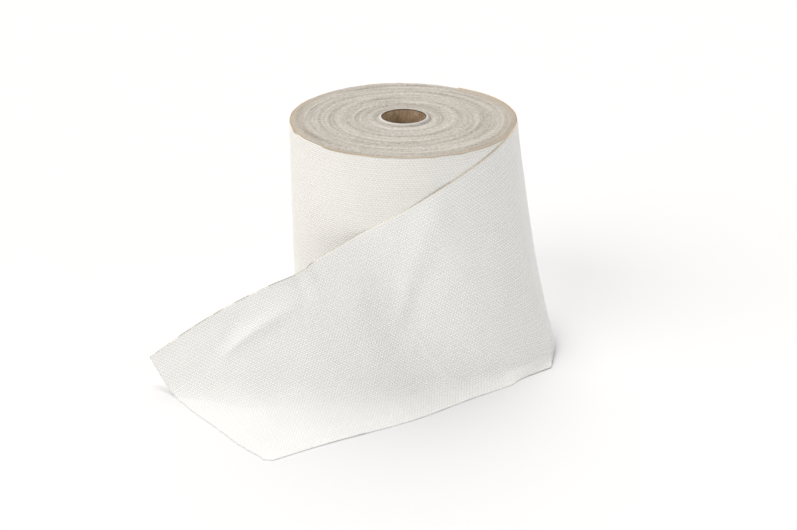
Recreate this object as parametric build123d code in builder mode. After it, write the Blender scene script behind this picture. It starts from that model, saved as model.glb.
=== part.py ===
"""A paper towel roll that stands on its end, its web pulled loose and laid out in front of it.

Millimetres. The origin is on the core axis at the floor, +Z is up and the front is towards -Y.
"""
from math import atan2, cos, hypot, sin, tan
import os

from build123d import *
import numpy as np

os.makedirs("parts", exist_ok=True)

# Roll and web
web_width = 175.0
roll_radius = 100.0
paper_thickness = 0.5
web_clearance = 0.05

# Cardboard core
core_bore = 38.6
core_wall = 1.5
core_gap = 0.1

# The core and the innermost turns stand proud at the top, where the roll has telescoped
inner_rise = 1.6
inner_band = 2.2
loose_turn_gap = 1.2
loose_turn_depth = 4.0

# Turns that show on the upper end face, as a spiral groove
groove_pitch = 15.0
groove_width = 0.6
groove_depth = 0.5
groove_turns = 4
groove_margin = 5.0

# The loose web leaves the roll at this angle, at the back, and runs clockwise seen from above
leave_angle = 57.0
tail_angle = 2.5
floor_lift = 0.3
start_lean = 0.05

# Stations along the loose web, from the roll to the torn end. Each has the top edge (x, y, z),
# the place where the slope of the web meets the floor (x, y), and the radius of the knee there.
# Each x, y and knee is a share of the roll's radius, and each z is a share of the web's width.
stations = (
    ((0.705, 0.71, 1), (0.71, 0.725), 0.05),
    ((0.87, 0.503, 1), (0.9, 0.52), 0.05),
    ((1.008, -0.02, 0.998), (1.14, -0.02), 0.05),
    ((0.89, -0.58, 0.994), (1.3, -0.63), 0.05),
    ((0.56, -0.96, 0.931), (1.29, -1.15), 0.08),
    ((0.16, -1.06, 0.811), (0.96, -1.47), 0.16),
    ((-0.32, -1.04, 0.64), (0.36, -1.64), 0.24),
    ((-0.87, -1.1, 0.451), (-0.24, -1.85), 0.4),
    ((-1.47, -1.27, 0.263), (-0.97, -1.93), 0.8),
    ((-2.08, -1.51, 0.126), (-1.83, -1.85), 0.6),
)
steps_along = 30
steps_across = 20
surface_tolerance = 0.15

core_radius = core_bore / 2 + core_wall
winding_bore = core_radius + core_gap
inner_radius = winding_bore + inner_band
groove_start = roll_radius - groove_margin - groove_pitch * groove_turns
outer_step = paper_thickness + 2 * web_clearance
leaving = Vector(1, 0).rotate(Axis.Z, leave_angle)
tail_out = Vector(1, 0).rotate(Axis.Z, leave_angle + tail_angle)


def spiral(first_radius, gain, half_turns, start_angle):
    """Half circles about two centres, whose radius grows by the gain in each full turn."""
    for k in range(half_turns):
        angle = start_angle + 180 * k
        centre = Vector(-gain / 4, 0).rotate(Axis.Z, angle)
        CenterArc((centre.X, centre.Y), first_radius + gain * (2 * k + 1) / 4, angle, 180)


def smooth_curve(places, values, wanted):
    """The natural cubic spline through rows of values at given places, read at the wanted places."""
    gaps = np.diff(places)
    slopes = np.diff(values, axis=0) / gaps[:, None]
    system = np.eye(len(places))
    load = np.zeros_like(values)
    for k in range(1, len(places) - 1):
        system[k, k - 1 : k + 2] = gaps[k - 1], 2 * (gaps[k - 1] + gaps[k]), gaps[k]
        load[k] = 6 * (slopes[k] - slopes[k - 1])
    bend = np.linalg.solve(system, load)
    k = np.clip(np.searchsorted(places, wanted) - 1, 0, len(gaps) - 1)
    gap = gaps[k][:, None]
    right = (wanted - places[k])[:, None] / gap
    left = 1 - right
    curved = (left**3 - left) * bend[k] + (right**3 - right) * bend[k + 1]
    return left * values[k] + right * values[k + 1] + curved * gap**2 / 6


def web_point(top, foot, knee, across):
    """A point of the web's underside, at a distance across it from its top edge.

    The web runs straight down its slope, turns at the knee and then lies on the floor.
    """
    run = foot - Vector(top.X, top.Y)
    slope = atan2(top.Z, run.length)
    straight = min(across, hypot(run.length, top.Z) - knee * tan(slope / 2))
    turned = min((across - straight) / knee, slope)
    flat = max(across - straight - knee * slope, 0)
    out = straight * cos(slope) + knee * (sin(slope) - sin(slope - turned)) + flat
    down = straight * sin(slope) + knee * (cos(slope - turned) - cos(slope))
    return top + run.normalized() * out + Vector(0, 0, floor_lift - down)


def web_surface():
    """The underside of the loose web, from inside the roll's outer step to the torn end."""
    start = tail_out * (roll_radius - outer_step + web_clearance)
    lean = start + tail_out * start_lean
    rows = [[start.X, start.Y, web_width, lean.X, lean.Y, roll_radius * stations[0][2]]]
    shares = np.array([[*top, *foot, knee] for top, foot, knee in stations])
    rows = np.vstack((rows, shares * (roll_radius, roll_radius, web_width, *[roll_radius] * 3)))
    steps = np.linalg.norm(np.diff(rows[:, :3], axis=0), axis=1)
    places = np.concatenate(([0], np.cumsum(steps)))
    wanted = np.linspace(0, places[-1], steps_along + 1)
    points = []
    for x, y, z, foot_x, foot_y, knee in smooth_curve(places, rows, wanted):
        column = (Vector(x, y, z), Vector(foot_x, foot_y), knee)
        points.append([web_point(*column, web_width * j / steps_across) for j in range(steps_across + 1)])
    return Face.make_surface_from_array_of_points(points, tol=surface_tolerance)


with BuildPart() as core_tube:
    with BuildSketch():
        Circle(core_radius)
        Circle(core_bore / 2, mode=Mode.SUBTRACT)
    extrude(amount=web_width + inner_rise)

core_tube.part.label = "core_tube"
export_step(core_tube.part, "parts/core_tube.step")

with BuildPart() as paper_web:
    with BuildSketch():
        with BuildLine():
            spiral(roll_radius - outer_step, outer_step, 2, leave_angle)
            Line(leaving * (roll_radius - outer_step), leaving * roll_radius)
        make_face()
        Circle(winding_bore, mode=Mode.SUBTRACT)
    extrude(amount=web_width)

    with BuildSketch():
        Circle(inner_radius)
        Circle(winding_bore, mode=Mode.SUBTRACT)
    extrude(amount=web_width + inner_rise)

    with BuildSketch(Plane.XY.offset(web_width)):
        with Locations((0.8 * loose_turn_gap, 0)):
            Circle(inner_radius + 0.4 * loose_turn_gap)
        Circle(inner_radius, mode=Mode.SUBTRACT)
    extrude(amount=-loose_turn_depth, mode=Mode.SUBTRACT)

    with BuildSketch(Plane.XY.offset(web_width)):
        with BuildLine():
            spiral(groove_start, groove_pitch, 2 * groove_turns, 0)
        trace(line_width=groove_width)
    extrude(amount=-groove_depth, mode=Mode.SUBTRACT)

    thicken(web_surface(), amount=paper_thickness, normal_override=Vector(0, -1, 1))

paper_web.part.label = "paper_web"
export_step(paper_web.part, "parts/paper_web.step")
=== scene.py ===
import math

import bmesh
import bpy
import numpy as np
from mathutils import Matrix, Vector, noise


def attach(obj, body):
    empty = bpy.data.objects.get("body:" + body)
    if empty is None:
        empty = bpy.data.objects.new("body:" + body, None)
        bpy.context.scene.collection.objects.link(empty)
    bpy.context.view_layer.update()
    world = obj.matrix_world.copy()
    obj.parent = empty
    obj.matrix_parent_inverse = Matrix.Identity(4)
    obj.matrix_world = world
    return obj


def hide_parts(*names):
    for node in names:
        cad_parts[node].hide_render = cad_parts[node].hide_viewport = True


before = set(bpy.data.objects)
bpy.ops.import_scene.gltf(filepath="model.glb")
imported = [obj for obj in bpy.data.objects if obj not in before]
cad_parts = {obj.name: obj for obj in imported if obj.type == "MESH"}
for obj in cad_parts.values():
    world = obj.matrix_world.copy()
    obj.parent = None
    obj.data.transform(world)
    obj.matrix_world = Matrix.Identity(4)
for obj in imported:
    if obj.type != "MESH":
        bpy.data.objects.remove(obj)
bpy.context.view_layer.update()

# Sizes of the roll and its web, in metres
WEB_WIDTH = 0.175
ROLL_RADIUS = 0.1
PAPER = 0.0004
WINDING_BORE = 0.0209
INNER_BAND = 0.0022
LIP_EDGE = 0.0213
INNER_RISE = 0.0015

# The loose web leaves the roll at this angle, at the back, and runs clockwise seen from above
LEAVE_ANGLE = math.radians(57)
TAIL_ANGLE = math.radians(59.5)
TAIL_RADIUS = 0.0996

# Stations along the loose web, from the roll to the torn end: the top edge (x, y, z), the place
# where the slope of the web meets the floor (x, y), and the radius of the knee there
STATIONS = (
    (0.0705, 0.0708, 0.1750, 0.0710, 0.0725, 0.005),
    (0.0870, 0.0495, 0.1750, 0.0900, 0.0510, 0.005),
    (0.0989, -0.0020, 0.1750, 0.1140, -0.0020, 0.005),
    (0.0900, -0.0425, 0.1745, 0.1270, -0.0630, 0.005),
    (0.0566, -0.0829, 0.1604, 0.1272, -0.1150, 0.008),
    (0.0161, -0.0993, 0.1380, 0.0960, -0.1470, 0.014),
    (-0.0322, -0.0973, 0.1090, 0.0360, -0.1640, 0.020),
    (-0.0870, -0.1100, 0.0805, -0.0240, -0.1840, 0.040),
    (-0.1470, -0.1270, 0.0555, -0.0970, -0.1910, 0.080),
    (-0.2080, -0.1510, 0.0230, -0.1830, -0.1840, 0.060),
)
FLOOR_LIFT = 0.00005
SHEET_ALONG = 300
SHEET_ACROSS = 100

# The top edge lies this far off the roll, from where the web leaves it to where it comes free
HUG = 0.0001
HUG_START = (0.02, 0.04)
HUG_END = (0.29, 0.335)
HUG_FADE = 0.02

# The right side of the loose web bows out by this much half way up
BOW = 0.0019

# The bottom strip turned out at the front right corner. At places along the web: the fold's
# distance across it, the same on the undisturbed web, and the place (x, y) of the strip's foot
STRIP = (
    (0.197, 0.1560, 0.1735, 0.1230, -0.1360),
    (0.215, 0.1575, 0.1700, 0.1135, -0.1425),
    (0.233, 0.1590, 0.1640, 0.1030, -0.1500),
    (0.255, 0.1605, 0.1590, 0.0945, -0.1580),
    (0.278, 0.1630, 0.1630, 0.0840, -0.1690),
)
STRIP_START = (0.187, 0.197)
STRIP_END = (0.255, 0.278)
DRAWN_START = (0.10, 0.19)

# Creases, soft valleys and ridges of the loose web: start and end (along, across), half width
# and height in metres, a height below 0 is a valley
CREASES = (
    ((0.234, 0.004), (0.287, 0.049), 0.013, -0.0026),
    ((0.287, 0.049), (0.319, 0.082), 0.007, -0.0020),
    ((0.262, 0.040), (0.336, 0.100), 0.013, 0.0014),
    ((0.328, 0.028), (0.352, 0.066), 0.020, -0.0026),
    ((0.391, 0.027), (0.456, 0.037), 0.0065, -0.0022),
    ((0.425, 0.010), (0.460, 0.030), 0.007, 0.0009),
    ((0.425, 0.0325), (0.459, 0.0375), 0.0022, -0.0007),
    ((0.309, 0.096), (0.306, 0.126), 0.0018, -0.0005),
    ((0.306, 0.126), (0.298, 0.150), 0.0018, -0.0005),
    ((0.303, 0.154), (0.305, 0.171), 0.004, 0.0007),
    ((0.376, 0.140), (0.392, 0.154), 0.008, 0.0009),
    ((0.314, 0.161), (0.331, 0.169), 0.006, 0.0008),
    ((0.240, 0.160), (0.300, 0.146), 0.006, 0.0008),
    ((0.368, 0.000), (0.364, 0.018), 0.005, -0.0018),
    ((0.374, 0.000), (0.378, 0.022), 0.005, 0.0010),
)

# The top edge drops here beside the roll, and eases back further along
HOOK_START = (0.3595, 0.3645)
HOOK_EASE = (0.370, 0.400)
HOOK_DEPTH = 0.0040
HOOK_DROP = 0.0038
HOOK_FADE = 0.005

# The torn end: how far it stands out past the last station, at distances across the web,
# and how it curls up from the floor, most at one place, with a lifted tip
TORN_ACROSS = (0, 0.020, 0.045, 0.075, 0.100, 0.138, 0.153, 0.164, 0.169, 0.175)
TORN_OUT = (0.0035, 0.0047, 0.0042, 0.0048, 0.0034, 0.0026, 0.0004, -0.0014, -0.0010, -0.0075)
CURL = 0.0045
CURL_LENGTH = 0.05
CURL_MIDDLE = 0.135
TIP = 0.0028
TIP_LENGTH = 0.012
TIP_MIDDLE = 0.170

# The wound roll: its steps round, its rings' spacing, and the flat at its right side
ROLL_STEPS = 320
RING_STEP = 0.0012
SIDE_STEPS = 24
TURN_PITCH = 0.00045
FLAT_DEPTH = 0.0016
FLAT_ANGLE = math.radians(12)
FLAT_WIDTH = 0.42
CORE_RIM = 0.1755

# The rim's dip at the front left, and the dark gap beside the inner band
DIP_ANGLE = 2.78
DIP_WIDTH = 0.07
DIP_DEPTH = 0.0017
GAP_DEPTH = 0.0040
GAP_ANGLE = 0.15
GAP_WIDTH = 0.55

# The web's emboss: short dashes in rows along the web, each row shifted against the next
DASH_PITCH = 0.00288
ROW_PAIR = 0.00367
ROW_SHIFT = 0.779
# The painted edge highlights are full up to the first distance from a cut edge and gone past the second.
CUT_EDGE = (0.0006, 0.0016)

# The photograph's width in pixels, and its camera: focal length in pixels, degrees, metres
PHOTO_WIDTH = 797
CAMERA_FOCUS = 1572.7
CAMERA_DOWN = 24.45
CAMERA_ROLL = 0.127
CAMERA_PLACE = (-0.0049, -1.3050, 0.6273)

WORLD_LIGHT = 0.47
FLOOR_WHITE = 0.785


class Wire:
    """One output socket of a material's nodes. Arithmetic on it adds Math nodes."""

    def __init__(self, tree, socket):
        self.tree = tree
        self.socket = socket

    def node(self, kind, inputs=None, output=0, stops=None, **settings):
        """Add a node of any kind, with its settings and its sockets' values or links."""
        made = self.tree.nodes.new(kind)
        for name, value in settings.items():
            setattr(made, name, value)
        if stops:
            ramp = made.color_ramp
            while len(ramp.elements) < len(stops):
                ramp.elements.new(0.5)
            for element, (place, colour) in zip(ramp.elements, stops):
                element.position = place
                element.color = (*colour, 1)
        for name, value in (inputs or {}).items():
            if isinstance(value, Wire):
                self.tree.links.new(value.socket, made.inputs[name])
            else:
                made.inputs[name].default_value = value
        return Wire(self.tree, made.outputs[output])

    def sum_of(self, operation, *values):
        return self.node("ShaderNodeMath", dict(enumerate(values)), operation=operation)

    def __add__(self, other):
        return self.sum_of("ADD", self, other)

    def __sub__(self, other):
        return self.sum_of("SUBTRACT", self, other)

    def __mul__(self, other):
        return self.sum_of("MULTIPLY", self, other)

    def __truediv__(self, other):
        return self.sum_of("DIVIDE", self, other)

    def __radd__(self, other):
        return self.sum_of("ADD", other, self)

    def __rsub__(self, other):
        return self.sum_of("SUBTRACT", other, self)

    def __rmul__(self, other):
        return self.sum_of("MULTIPLY", other, self)

    def __pow__(self, other):
        return self.sum_of("POWER", self, other)

    def cosine(self):
        return self.sum_of("COSINE", self)

    def between(self, low, high):
        """0 below low, 1 above high and a smooth step between them."""
        places = {"Value": self, "From Min": low, "From Max": high}
        return self.node("ShaderNodeMapRange", places, interpolation_type="SMOOTHSTEP")

    def mix(self, first, second):
        """The first colour where this is 0 and the second where it is 1."""
        colours = {"Factor": self, 6: first, 7: second}
        return self.node("ShaderNodeMix", colours, output=2, data_type="RGBA")

    def separate(self):
        return [self.node("ShaderNodeSeparateXYZ", {0: self}, output=k) for k in range(3)]


def new_material(name):
    """An empty material with one shader; gives the material, a wire to start from and the shader."""
    material = bpy.data.materials.new(name)
    material.use_nodes = True
    tree = material.node_tree
    shader = tree.nodes["Principled BSDF"]
    return material, Wire(tree, None), shader


def connect(wire, shader, name):
    wire.tree.links.new(wire.socket, shader.inputs[name])


def noise_of(wire, coordinates, scale, detail=2.0, roughness=0.5):
    sockets = {"Vector": coordinates, "Scale": scale, "Detail": detail, "Roughness": roughness}
    return wire.node("ShaderNodeTexNoise", sockets)


def bump(wire, height, strength, distance):
    return wire.node("ShaderNodeBump", {"Height": height, "Strength": strength, "Distance": distance})


def embossed_paper(name, light, dark, edged):
    """White tissue with rows of pressed dashes, laid out in the web's own coordinates.

    An edged web has a tan line along its top edge near the roll, a painted cream highlight and a painted
    shade line further along it, and a painted white highlight along its bottom edge.
    """
    material, wire, shader = new_material(name)
    along, across, _ = wire.node("ShaderNodeUVMap", uv_map="web").separate()
    turn = 2 * math.pi
    double = across * (2 * turn / ROW_PAIR)
    slant = along * (turn / DASH_PITCH) + across * (turn * ROW_SHIFT / ROW_PAIR)
    pairs = (across * (turn / ROW_PAIR)).cosine()
    dashes = slant.cosine() * 0.35
    emboss = double.cosine() * 0.5 + dashes + (double - slant).cosine() * 0.35 + pairs * 0.15
    objects = wire.node("ShaderNodeTexCoord", output=3)
    fibres = noise_of(wire, objects, 900, 3, 0.6)
    cloud = noise_of(wire, objects, 26, 3, 0.6)
    connect(bump(wire, emboss * 0.5 + fibres * 0.3, 1.0, 0.0004), shader, "Normal")
    # The colour follows the emboss: painted shade in its hollows and painted light on its crests, mixed
    # with random fibre and cloud tone.
    tone = emboss + (fibres - 0.5) * 0.5 + (cloud - 0.5) * 0.6
    colour = tone.between(-1.1, 1.3).mix((*dark, 1), (*light, 1))
    if edged:
        inner, outer = CUT_EDGE
        top = 1 - across.between(inner, outer)
        # The top edge is tan near the roll, then a painted cream highlight of bounced light that also
        # covers the shade of its gap to the roll.
        cream = along.between(0.14, 0.30).mix((0.80, 0.66, 0.46, 1), (0.97, 0.93, 0.84, 1))
        # Further along, patches of painted shade on the top edge, standing in for its underside in shade.
        shade = along.between(0.352, 0.360) * noise_of(wire, objects, 60).between(0.42, 0.56)
        cream = (shade * 0.8).mix(cream, (0.34, 0.29, 0.24, 1))
        # A painted white highlight along the bottom edge.
        bottom_edge_highlight = across.between(WEB_WIDTH - outer, WEB_WIDTH - inner)
        colour = (bottom_edge_highlight * 0.8).mix((top * 0.8).mix(colour, cream), (0.95, 0.95, 0.94, 1))
    connect(colour, shader, "Base Color")
    shader.inputs["Roughness"].default_value = 0.92
    shader.inputs["Specular IOR Level"].default_value = 0.25
    return material


def wound_end(name):
    """The end of the roll: cut paper edges in rings, warm grey, with dirt and a tan rim."""
    material, wire, shader = new_material(name)
    objects = wire.node("ShaderNodeTexCoord", output=3)
    x, y, _ = objects.separate()
    radius = (x * x + y * y) ** 0.5
    angle = wire.sum_of("ARCTAN2", y, x) / (2 * math.pi)
    turns = radius / TURN_PITCH - angle
    layer = wire.sum_of("FLOOR", turns + 0.5) + angle
    swing = wire.node("ShaderNodeCombineXYZ", {0: layer * 0.31, 1: x * 9, 2: y * 9})
    rings = noise_of(wire, swing, 1.0, 4, 0.65)
    broad_place = wire.node("ShaderNodeCombineXYZ", {0: radius * 190, 1: x * 10, 2: y * 10})
    broad = noise_of(wire, broad_place, 1.0, 3, 0.6)
    speckle = noise_of(wire, objects, 360, 3, 0.75)
    grain = noise_of(wire, objects, 1100, 2, 0.6)
    blotch = noise_of(wire, objects, 34, 3, 0.6)
    tone = (rings - 0.5) * 0.8 + (broad - 0.5) * 1.3 + (speckle - 0.5) * 1.5 + (grain - 0.5) * 0.9
    tone = tone * 0.95 + (blotch - 0.5) * 0.25 + 0.5
    clean = tone.mix((0.275, 0.243, 0.200, 1), (0.65, 0.615, 0.565, 1))
    sides = (wire.sum_of("ABSOLUTE", x + 0.012)).between(0.03, 0.092)
    dirt = (radius + (blotch - 0.5) * 0.016 + (broad - 0.5) * 0.01).between(0.084, 0.0975)
    soiled = (dirt * (sides * 0.5 + 0.08)).mix(clean, (0.40, 0.335, 0.265, 1))
    rim = (radius + (speckle - 0.5) * 0.0016).between(0.0972, 0.0988)
    spots = speckle.between(0.60, 0.70) * radius.between(0.05, 0.09) * (sides * 0.8 + 0.1)
    spotted = (spots * 0.75).mix(soiled, (0.20, 0.155, 0.115, 1))
    front = 1 - (y + 0.5 * x).between(-0.02, 0.06)
    connect((rim * (front * 0.35 + 0.25)).mix(spotted, (0.50, 0.385, 0.265, 1)), shader, "Base Color")
    height = rings * 0.5 + broad * 1.2 + speckle * 0.8
    connect(bump(wire, height, 1.0, 0.0008), shader, "Normal")
    shader.inputs["Roughness"].default_value = 0.95
    shader.inputs["Specular IOR Level"].default_value = 0.15
    return material


def raw_cardboard(name):
    """Brown core board with fibres, darker flecks and a dark band at the top of its rim."""
    material, wire, shader = new_material(name)
    objects = wire.node("ShaderNodeTexCoord", output=3)
    x, y, z = objects.separate()
    stretched = wire.node("ShaderNodeCombineXYZ", {0: x, 1: y, 2: z * 0.35})
    fibres = noise_of(wire, stretched, 520, 4, 0.7)
    cloud = noise_of(wire, objects, 90, 3, 0.6)
    tone = (fibres - 0.5) * 1.6 + (cloud - 0.5) * 1.1 + 0.5
    board = tone.mix((0.20, 0.135, 0.083, 1), (0.66, 0.50, 0.335, 1))
    # Darker in a narrow band at the top of the core's rim.
    rim = z.between(CORE_RIM, CORE_RIM + 0.0009)
    connect((rim * 0.75).mix(board, (0.07, 0.045, 0.028, 1)), shader, "Base Color")
    connect(bump(wire, fibres, 0.8, 0.0004), shader, "Normal")
    shader.inputs["Roughness"].default_value = 0.9
    shader.inputs["Specular IOR Level"].default_value = 0.2
    return material


def smooth_curve(places, values, wanted):
    """The natural cubic spline through rows of values at given places, read at the wanted places."""
    gaps = np.diff(places)
    slopes = np.diff(values, axis=0) / gaps[:, None]
    system = np.eye(len(places))
    load = np.zeros_like(values)
    for k in range(1, len(places) - 1):
        system[k, k - 1:k + 2] = gaps[k - 1], 2 * (gaps[k - 1] + gaps[k]), gaps[k]
        load[k] = 6 * (slopes[k] - slopes[k - 1])
    bend = np.linalg.solve(system, load)
    k = np.clip(np.searchsorted(places, wanted) - 1, 0, len(gaps) - 1)
    gap = gaps[k][:, None]
    right = (wanted - places[k])[:, None] / gap
    left = 1 - right
    curved = (left**3 - left) * bend[k] + (right**3 - right) * bend[k + 1]
    return left * values[k] + right * values[k + 1] + curved * gap**2 / 6


def station_rows():
    """The stations with the web's start on the roll put before them, and their places along it."""
    x = TAIL_RADIUS * math.cos(TAIL_ANGLE)
    y = TAIL_RADIUS * math.sin(TAIL_ANGLE)
    start = (x, y, WEB_WIDTH, x * 1.0005, y * 1.0005, STATIONS[0][5])
    rows = np.array((start, *STATIONS))
    steps = np.linalg.norm(np.diff(rows[:, :3], axis=0), axis=1)
    return rows, np.concatenate(([0], np.cumsum(steps)))


WEB_ROWS, WEB_PLACES = station_rows()
WEB_LENGTH = float(WEB_PLACES[-1])


def web_surface(along, across):
    """Points of the web's underside at distances along it and across it from its top edge.

    The web runs straight down its slope, turns at the knee and then lies on the floor.
    """
    row = smooth_curve(WEB_PLACES, WEB_ROWS, along)
    top, foot, knee = row[:, :3], row[:, 3:5], row[:, 5]
    run = foot - top[:, :2]
    reach = np.linalg.norm(run, axis=1)
    slope = np.arctan2(top[:, 2], reach)
    straight = np.minimum(across, np.hypot(reach, top[:, 2]) - knee * np.tan(slope / 2))
    turned = np.minimum((across - straight) / knee, slope)
    flat = np.maximum(across - straight - knee * slope, 0)
    lean = slope - turned
    out = straight * np.cos(slope) + knee * (np.sin(slope) - np.sin(lean)) + flat
    down = straight * np.sin(slope) + knee * (np.cos(lean) - np.cos(slope))
    heading = run / reach[:, None]
    return np.column_stack((top[:, :2] + heading * out[:, None], top[:, 2] - down + FLOOR_LIFT))


def step_between(low, high, value):
    """0 below low, 1 above high and a smooth step between them."""
    share = np.clip((value - low) / (high - low), 0, 1)
    return share * share * (3 - 2 * share)


def stretch_between(start, end, value):
    """A smooth rise over the start's range, 1 from there on, and a smooth fall over the end's."""
    return step_between(*start, value) * (1 - step_between(*end, value))


def crease_height(along, across):
    """Height of all the creases together at points of the web."""
    height = np.zeros_like(along)
    for (a0, c0), (a1, c1), half, rise in CREASES:
        da, dc = a1 - a0, c1 - c0
        size = da * da + dc * dc
        share = np.clip(((along - a0) * da + (across - c0) * dc) / size, 0, 1)
        gap = np.hypot(along - a0 - share * da, across - c0 - share * dc)
        fade = 0.25 + 0.75 * np.sin(np.pi * np.clip(share, 0.03, 0.97)) ** 0.7
        height += rise * fade * np.exp(-((gap / half) ** 2))
    return height


def roll_edge(angle):
    """Radius of the wound roll at an angle; it is a little flat at the right."""
    turned = (angle + FLAT_ANGLE + math.pi) % (2 * math.pi) - math.pi
    return ROLL_RADIUS - FLAT_DEPTH * np.exp(-((turned / FLAT_WIDTH) ** 2))


def loose_points(along, across):
    """Place of each point of the loose web, before its creases and its thickness.

    Towards the strip's fold the web is drawn down its slope. The strip runs from there to its foot.
    """
    table = np.array(STRIP)
    fold, model, foot_x, foot_y = (np.interp(along, table[:, 0], table[:, k]) for k in range(1, 5))
    strip = stretch_between(STRIP_START, STRIP_END, along)
    drawn = stretch_between(DRAWN_START, STRIP_END, along) * (model / fold - 1)
    near = web_surface(along, across * (1 + drawn * (1 - (across / WEB_WIDTH) ** 6)))
    body = web_surface(along, across * (1 + drawn))
    crease = web_surface(along, model)
    foot = np.column_stack((foot_x, foot_y, np.full_like(foot_x, FLOOR_LIFT)))
    share = ((across - fold) / (WEB_WIDTH - fold))[:, None]
    turned = np.where((across > fold)[:, None], crease + (foot - crease) * share, body)
    points = near * (1 - strip[:, None]) + turned * strip[:, None]
    right = step_between(0.05, 0.09, points[:, 0]) * (along > 0.04)
    points[:, 0] += BOW * right * np.sin(np.pi * np.clip(points[:, 2] / WEB_WIDTH, 0, 1))
    top = web_surface(along, np.zeros_like(along))
    hug = stretch_between(HUG_START, HUG_END, along) * np.exp(-across / HUG_FADE)
    wanted = roll_edge(np.arctan2(top[:, 1], top[:, 0])) + HUG
    points[:, :2] *= (1 + (wanted / np.hypot(top[:, 0], top[:, 1]) - 1) * hug)[:, None]
    reach = np.hypot(points[:, 0], points[:, 1])
    least = roll_edge(np.arctan2(points[:, 1], points[:, 0])) + HUG
    points[:, :2] *= np.where(along > 0.03, np.maximum(1, least / reach), 1)[:, None]
    return points


def surface_normals(along, across):
    """Unit normals of the web, pointing away from the roll."""
    small = 0.0004
    a = loose_points(along + small, across) - loose_points(along - small, across)
    below = loose_points(along, np.minimum(across + small, WEB_WIDTH))
    above = loose_points(along, np.maximum(across - small, 0))
    normal = np.cross(below - above, a)
    return normal / np.linalg.norm(normal, axis=1)[:, None]


def torn_end(across):
    """How far the torn end stands out past the last station, along the web."""
    ragged = np.array([noise.noise(Vector((c * 420, 0.3, 1.7))) for c in across])
    fine = np.array([noise.noise(Vector((c * 1300, 2.3, 5.7))) for c in across])
    return np.interp(across, TORN_ACROSS, TORN_OUT) + 0.0008 * ragged + 0.0004 * fine


def slow_noise(along, across, scale, seed):
    """Smooth noise over the web, about -1 to 1."""
    return np.array([noise.noise(Vector((a * scale, c * scale, seed))) for a, c in zip(along, across)])


def loose_sheet(paper):
    """The loose web: a grid laid over the stations, then creased, torn and given its thickness."""
    mesh = bmesh.new()
    layer = mesh.loops.layers.uv.new("web")
    bmesh.ops.create_grid(mesh, x_segments=SHEET_ALONG, y_segments=SHEET_ACROSS, size=0.5)
    mesh.verts.ensure_lookup_table()
    flat = np.array([vert.co[:2] for vert in mesh.verts]) + 0.5
    across = flat[:, 1] * WEB_WIDTH
    length = WEB_LENGTH + torn_end(across)
    along = flat[:, 0] * length
    points = loose_points(along, across)
    normals = surface_normals(along, across)
    free = step_between(0.05, 0.16, along)
    height = crease_height(along, across)
    height += 0.0006 * slow_noise(along, across, 22, 3.7) * free
    height += 0.00025 * slow_noise(along, across, 75, 9.1) * free
    hook = step_between(*HOOK_START, along) * (1 - 0.6 * step_between(*HOOK_EASE, along))
    hook *= np.exp(-across / HOOK_FADE)
    height -= HOOK_DEPTH * hook
    curl = step_between(WEB_LENGTH - CURL_LENGTH, WEB_LENGTH, along) ** 2
    height += CURL * curl * (0.35 + 0.65 * np.exp(-(((across - CURL_MIDDLE) / 0.03) ** 2)))
    tip = step_between(WEB_LENGTH - TIP_LENGTH, WEB_LENGTH, along)
    height += TIP * tip * np.exp(-(((across - TIP_MIDDLE) / 0.006) ** 2))
    points = points + normals * height[:, None]
    points[:, 2] -= HOOK_DROP * hook
    points[:, 2] = np.maximum(points[:, 2], FLOOR_LIFT)
    for vert, place in zip(mesh.verts, points):
        vert.co = place
    for face in mesh.faces:
        face.smooth = True
        for loop in face.loops:
            k = loop.vert.index
            loop[layer].uv = (along[k], across[k])
    piece = finish_piece("loose_sheet", mesh, (paper,))
    skin = piece.modifiers.new("thickness", "SOLIDIFY")
    skin.thickness = PAPER
    skin.offset = 1
    return piece


def finish_piece(name, mesh, materials):
    """Make a scene object of a bmesh, at the origin, with its materials."""
    data = bpy.data.meshes.new(name)
    mesh.to_mesh(data)
    mesh.free()
    piece = bpy.data.objects.new(name, data)
    bpy.context.collection.objects.link(piece)
    for material in materials:
        data.materials.append(material)
    return piece


def end_relief(radius, angle):
    """Height of the roll's upper end: uneven rings that wander a little round the roll."""
    wander = 0.6 * math.sin(angle + 0.8) + 0.35 * math.sin(2 * angle - 1.0)
    sway = Vector((math.cos(angle) * 0.9, math.sin(angle) * 0.9, radius * 420 + wander))
    fine = Vector((math.cos(angle) * 2.2, math.sin(angle) * 2.2, radius * 1100))
    rings = noise.noise(sway) * 0.0007 + noise.noise(fine) * 0.00045
    sag = 0.0006 * math.sin(angle - 2.2) * (radius / ROLL_RADIUS) ** 2
    return rings + sag


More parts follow.
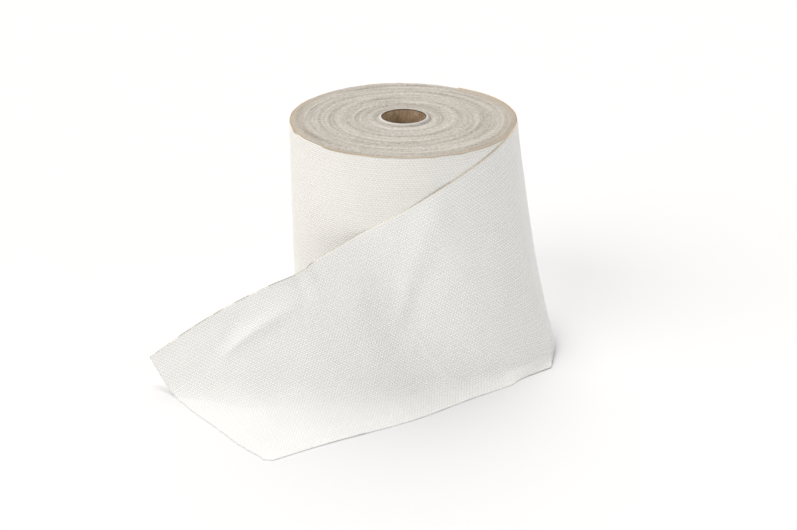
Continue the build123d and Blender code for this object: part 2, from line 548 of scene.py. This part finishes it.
def wound_turns(side, end):
    """The wound roll without its core: bore wall, raised inner band, ringed end and outer side."""
    inner_edge = WINDING_BORE + INNER_BAND
    lip = WEB_WIDTH + INNER_RISE
    gap_edge = inner_edge + 0.0003
    rings = np.arange(inner_edge + 0.0011, ROLL_RADIUS - 0.0010, RING_STEP)
    # the bore's wall, the innermost turn's lip bent over the core's rim, and the band outside it
    outline = [
        (WINDING_BORE, 0.0), (WINDING_BORE, lip), (0.0202, lip + 0.0001), (0.0200, lip + 0.0003),
        (0.0202, lip + 0.0005), (0.0207, lip + 0.0004), (0.0211, lip), (LIP_EDGE, lip - 0.0009),
        (0.0219, WEB_WIDTH + 0.0004), (inner_edge, WEB_WIDTH + 0.0002), (gap_edge, WEB_WIDTH - 0.0003),
    ]
    outline += [(r, WEB_WIDTH) for r in rings]
    outline += [(ROLL_RADIUS - 0.0003, WEB_WIDTH - 0.0001), (ROLL_RADIUS, WEB_WIDTH - 0.0005)]
    outline += [(ROLL_RADIUS, WEB_WIDTH * (1 - k / SIDE_STEPS)) for k in range(1, SIDE_STEPS + 1)]
    mesh = bmesh.new()
    layer = mesh.loops.layers.uv.new("web")
    verts = [mesh.verts.new((r * math.cos(LEAVE_ANGLE), r * math.sin(LEAVE_ANGLE), z)) for r, z in outline]
    edges = [mesh.edges.new(pair) for pair in zip(verts, verts[1:] + verts[:1])]
    bmesh.ops.spin(
        mesh, geom=verts + edges, cent=(0, 0, 0), axis=(0, 0, 1), dvec=(0, 0, 0),
        angle=2 * math.pi, steps=ROLL_STEPS, use_merge=True, use_duplicate=False,
    )
    bmesh.ops.remove_doubles(mesh, verts=mesh.verts, dist=0.00002)
    bmesh.ops.recalc_face_normals(mesh, faces=mesh.faces)
    for vert in mesh.verts:
        x, y, z = vert.co
        radius = math.hypot(x, y)
        angle = math.atan2(y, x)
        shrink = 1 - float(roll_edge(angle)) / ROLL_RADIUS
        share = max(0, (radius - 0.03) / 0.07) ** 2
        if z > WEB_WIDTH - 0.0007:
            fade = min(1, max(0, (radius - inner_edge) / 0.005))
            height = end_relief(radius, angle) * fade
            if abs(radius - gap_edge) < 0.0001:
                height = -GAP_DEPTH * math.exp(-(((angle + GAP_ANGLE) / GAP_WIDTH) ** 2))
            if radius > 0.0985:
                height += 0.0005 * noise.noise(Vector((math.cos(angle) * 9, math.sin(angle) * 9, 4.4)))
            dip = math.exp(-(((angle + DIP_ANGLE) / DIP_WIDTH) ** 2)) * max(0, (radius - 0.093) / 0.007)
            vert.co.z = z + height - DIP_DEPTH * dip
            shrink -= 0.006 * dip
        vert.co.x = x * (1 - shrink * share)
        vert.co.y = y * (1 - shrink * share)
    mesh.normal_update()
    for face in mesh.faces:
        face.smooth = True
        middle = face.calc_center_median()
        radius = math.hypot(middle.x, middle.y)
        on_side = radius > 0.0975 and abs(face.normal.z) < 0.5
        on_lip = radius < LIP_EDGE and middle.z > WEB_WIDTH / 2
        face.material_index = 0 if on_side or on_lip else 1
        for loop in face.loops:
            x, y, z = loop.vert.co
            angle = (math.atan2(y, x) - LEAVE_ANGLE) % (2 * math.pi)
            if angle < 0.01 and (math.atan2(middle.y, middle.x) - LEAVE_ANGLE) % (2 * math.pi) > 3:
                angle += 2 * math.pi
            loop[layer].uv = (-angle * ROLL_RADIUS, WEB_WIDTH - z)
    return finish_piece("wound_turns", mesh, (side, end))


def place_camera():
    """The photograph's view: in front of the roll and about 24 degrees above it."""
    data = bpy.data.cameras.new("camera")
    camera = bpy.data.objects.new("camera", data)
    bpy.context.collection.objects.link(camera)
    data.sensor_width = 36
    data.lens = CAMERA_FOCUS / PHOTO_WIDTH * 36
    data.clip_end = 50
    tilt = math.radians(90 - CAMERA_DOWN)
    turn = Matrix.Rotation(tilt, 4, "X") @ Matrix.Rotation(-math.radians(CAMERA_ROLL), 4, "Z")
    camera.matrix_world = Matrix.Translation(CAMERA_PLACE) @ turn
    bpy.context.scene.camera = camera


def white_floor():
    """A pale floor that reads white where no shadow falls."""
    material, _, shader = new_material("floor")
    shader.inputs["Base Color"].default_value = (FLOOR_WHITE, FLOOR_WHITE, FLOOR_WHITE, 1)
    shader.inputs["Roughness"].default_value = 1.0
    shader.inputs["Specular IOR Level"].default_value = 0.0
    mesh = bmesh.new()
    bmesh.ops.create_grid(mesh, x_segments=1, y_segments=1, size=6)
    floor = finish_piece("floor", mesh, (material,))


def lamp(name, aim, strength, spread, colour):
    """A broad even light from far away; aim is the direction from the object towards it."""
    data = bpy.data.lights.new(name, "SUN")
    data.energy = strength
    data.angle = math.radians(spread)
    data.color = colour
    light = bpy.data.objects.new(name, data)
    bpy.context.collection.objects.link(light)
    light.rotation_mode = "QUATERNION"
    light.rotation_quaternion = Vector(aim).to_track_quat("Z", "Y")


def studio():
    """Soft light from the back, the left and a little from the front, and an even pale world.

    The world is white to the camera and dimmer as a light.
    """
    world = bpy.data.worlds.new("studio")
    bpy.context.scene.world = world
    world.use_nodes = True
    tree = world.node_tree
    background = tree.nodes["Background"]
    wire = Wire(tree, None)
    seen = wire.node("ShaderNodeLightPath", output=0)
    strength = seen * (1 - WORLD_LIGHT) + WORLD_LIGHT
    background.inputs["Color"].default_value = (1, 1, 1, 1)
    tree.links.new(strength.socket, background.inputs["Strength"])
    lamp("back_light", (0.0, 0.85, 0.9), 2.2, 45, (1, 0.99, 0.98))
    lamp("left_light", (-1.0, -0.4, 0.75), 1.4, 60, (1, 0.975, 0.93))
    lamp("front_light", (0.7, -0.7, 0.5), 0.45, 70, (1, 1, 1))
    bpy.context.scene.view_settings.view_transform = "Standard"


paper = embossed_paper("embossed_paper", (0.985, 0.98, 0.96), (0.745, 0.74, 0.72), True)
roll_paper = embossed_paper("wound_paper", (0.98, 0.965, 0.93), (0.765, 0.745, 0.705), False)
paper_end = wound_end("wound_end")
board = raw_cardboard("raw_cardboard")

sheet = loose_sheet(paper)
turns = wound_turns(roll_paper, paper_end)
for piece in (sheet, turns):
    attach(piece, "root")
    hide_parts("paper_web")

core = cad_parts["core_tube"]
for slot in core.material_slots:
    slot.material = board

place_camera()
white_floor()
studio()
